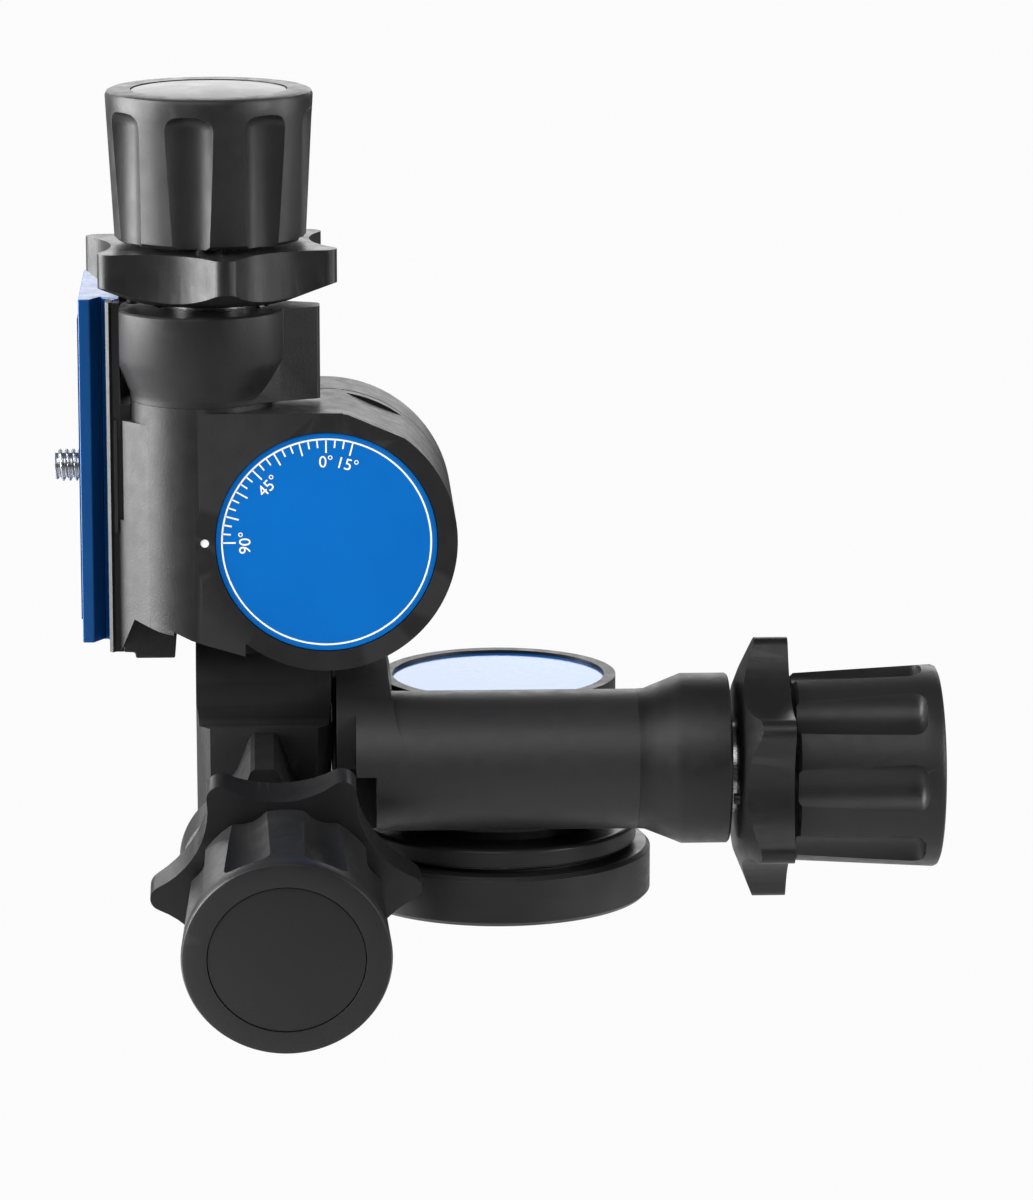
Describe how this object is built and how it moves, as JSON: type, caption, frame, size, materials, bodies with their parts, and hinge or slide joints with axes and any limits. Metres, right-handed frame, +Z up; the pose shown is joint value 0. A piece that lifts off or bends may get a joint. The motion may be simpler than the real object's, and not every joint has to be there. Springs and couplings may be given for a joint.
{
  "type": "geared tripod head",
  "caption": "Geared pan and tilt camera head with fluted worm-drive knobs, winged release collars, blue scale discs and a sliding camera plate in a clamp.",
  "frame": {"origin": "centre of the base's underside, on the pan axis, at the mouth of the threaded hole for the tripod", "axes": "+Z up along the pan axis; the pan knob points along +X; the front tilt knob points along -Y; in this pose the camera plate stands upright on the -X side"},
  "size_m": [0.1695, 0.1095, 0.1732],
  "materials": {
    "body_black": "satin black paint on cast metal",
    "base_black": "satin black paint, turned ring",
    "deep_black": "dull black",
    "knob_black": "satin moulded plastic",
    "cap_black": "smooth domed cap",
    "collar_black": "satin moulded plastic",
    "blue": "blue anodised",
    "dial_blue": "blue anodised, printed scale",
    "steel": "turned steel",
    "bronze": "machined bronze",
    "pad_rubber": "black rubber",
    "dot_white": "white paint"
  },
  "bodies": {
    "base": {"base_ring": "base_black", "index_ring": "base_black", "pan_spindle": "deep_black", "pan_thrust_washer": "steel", "pan_wheel": "bronze", "pan_nut": "steel"},
    "pan": {"pan_housing": "body_black", "pan_cap": "blue", "pan_neck": "body_black", "pan_bush": "bronze", "front_spindle": "steel", "front_wheel": "bronze", "front_nut": "steel", "front_dial": "dial_blue"},
    "pan_drive": {"pan_worm": "steel", "pan_knob": "knob_black", "pan_knob_cap": "cap_black"},
    "pan_release": {"pan_collar": "collar_black", "pan_sleeve": "steel", "pan_spring": "steel"},
    "front_tilt": {"front_housing": "body_black", "front_neck": "body_black", "front_bush": "bronze", "side_bracket": "body_black", "side_spindle": "steel", "side_wheel": "bronze", "side_nut": "steel", "side_dial": "dial_blue"},
    "front_drive": {"front_worm": "steel", "front_knob": "knob_black", "front_knob_cap": "cap_black"},
    "front_release": {"front_collar": "collar_black", "front_sleeve": "steel", "front_spring": "steel"},
    "side_tilt": {"side_housing": "body_black", "side_neck": "body_black", "side_bush": "bronze", "index_dot": "dot_white", "clamp_base": "body_black"},
    "side_drive": {"side_worm": "steel", "side_knob": "knob_black", "side_knob_cap": "cap_black"},
    "side_release": {"side_collar": "collar_black", "side_sleeve": "steel", "side_spring": "steel"},
    "clamp_jaw": {"clamp_jaw": "body_black"},
    "clamp_lock": {"clamp_screw": "steel", "clamp_knob": "knob_black"},
    "plate": {"camera_plate": "blue", "plate_pads": "pad_rubber"},
    "camera_screw": {"camera_screw": "steel"}
  },
  "joints": [
    {"name": "pan", "type": "hinge", "parent": "base", "child": "pan", "pos_m": [0, 0, 0.0291], "axis": [0, 0, 1], "continuous": true},
    {"name": "front_tilt", "type": "hinge", "parent": "pan", "child": "front_tilt", "pos_m": [-0.0418, 0.002, 0.0425], "axis": [1, 0, 0], "range_deg": [-90, 15]},
    {"name": "side_tilt", "type": "hinge", "parent": "front_tilt", "child": "side_tilt", "pos_m": [-0.0336, -0.0205, 0.077], "axis": [0, 1, 0], "range_deg": [0, 101]},
    {"name": "pan_knob_turn", "type": "hinge", "parent": "pan", "child": "pan_drive", "pos_m": [0, -0.0213, 0.0291], "axis": [1, 0, 0], "continuous": true},
    {"name": "pan_release_turn", "type": "hinge", "parent": "pan", "child": "pan_release", "pos_m": [0, -0.0213, 0.0291], "axis": [1, 0, 0], "range_deg": [0, 30], "stiffness_Nm_per_rad": 0.15, "springref_deg": -20.05},
    {"name": "front_knob_turn", "type": "hinge", "parent": "front_tilt", "child": "front_drive", "pos_m": [-0.0418, 0.0057, 0.02152], "axis": [0, -0.9848, -0.1736], "range_deg": [-730, 4330]},
    {"name": "front_release_turn", "type": "hinge", "parent": "front_tilt", "child": "front_release", "pos_m": [-0.0418, 0.0057, 0.02152], "axis": [0, -0.9848, -0.1736], "range_deg": [0, 30], "stiffness_Nm_per_rad": 0.15, "springref_deg": -20.05},
    {"name": "side_knob_turn", "type": "hinge", "parent": "side_tilt", "child": "side_drive", "pos_m": [-0.0549, -0.0205, 0.077], "axis": [0, 0, 1], "range_deg": [-10, 4860]},
    {"name": "side_release_turn", "type": "hinge", "parent": "side_tilt", "child": "side_release", "pos_m": [-0.0549, -0.0205, 0.077], "axis": [0, 0, 1], "range_deg": [0, 30], "stiffness_Nm_per_rad": 0.15, "springref_deg": -20.05},
    {"name": "clamp_jaw_slide", "type": "slide", "parent": "side_tilt", "child": "clamp_jaw", "axis": [0, 1, 0], "range_m": [0, 0.0015]},
    {"name": "clamp_lock_turn", "type": "hinge", "parent": "clamp_jaw", "child": "clamp_lock", "pos_m": [-0.0665, 0.0178, 0.076], "axis": [0, 1, 0], "range_deg": [0, 676]},
    {"name": "plate_slide", "type": "slide", "parent": "side_tilt", "child": "plate", "axis": [0, 0, 1], "range_m": [-0.02, 0]},
    {"name": "camera_screw_turn", "type": "hinge", "parent": "plate", "child": "camera_screw", "pos_m": [-0.0799, -0.004, 0.0861], "axis": [-1, 0, 0], "continuous": true}
  ],
  "couplings": [
    {"joint": "pan_knob_turn", "follows": "pan", "ratio": 48},
    {"joint": "front_knob_turn", "follows": "front_tilt", "ratio": -48},
    {"joint": "side_knob_turn", "follows": "side_tilt", "ratio": 48},
    {"joint": "clamp_lock_turn", "follows": "clamp_jaw_slide", "rad_per_m": 7854}
  ]
}
